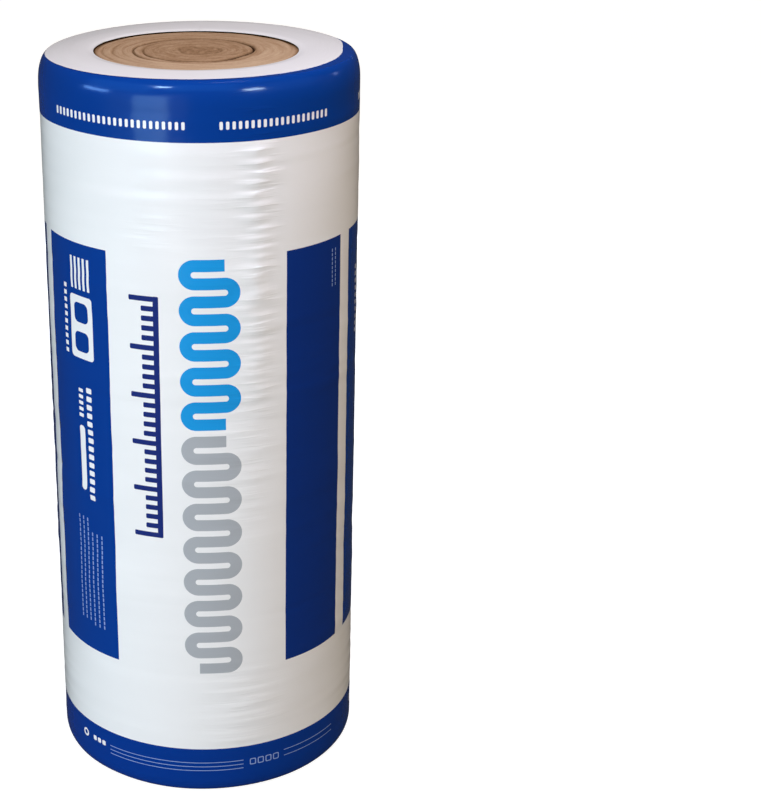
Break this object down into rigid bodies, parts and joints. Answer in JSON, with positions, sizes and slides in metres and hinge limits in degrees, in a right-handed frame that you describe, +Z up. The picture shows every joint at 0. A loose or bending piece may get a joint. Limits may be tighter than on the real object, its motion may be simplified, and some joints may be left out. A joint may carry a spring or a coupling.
{
  "type": "insulation roll",
  "caption": "Upright roll of wound mineral wool blanket in a printed film sleeve, turned in over both ends around an open eye.",
  "frame": {"origin": "centre of the ring of film that the roll stands on", "axes": "+Z up along the roll's axis; -Y towards the printed front"},
  "size_m": [0.505, 0.505, 1.2016],
  "materials": {
    "wool": "matt mineral wool, brown, cut edges of the blanket",
    "film": "glossy white polyethylene film, printed in blue"
  },
  "bodies": {
    "root": {"wool_roll": "wool", "film_wrap": "film"}
  },
  "joints": []
}
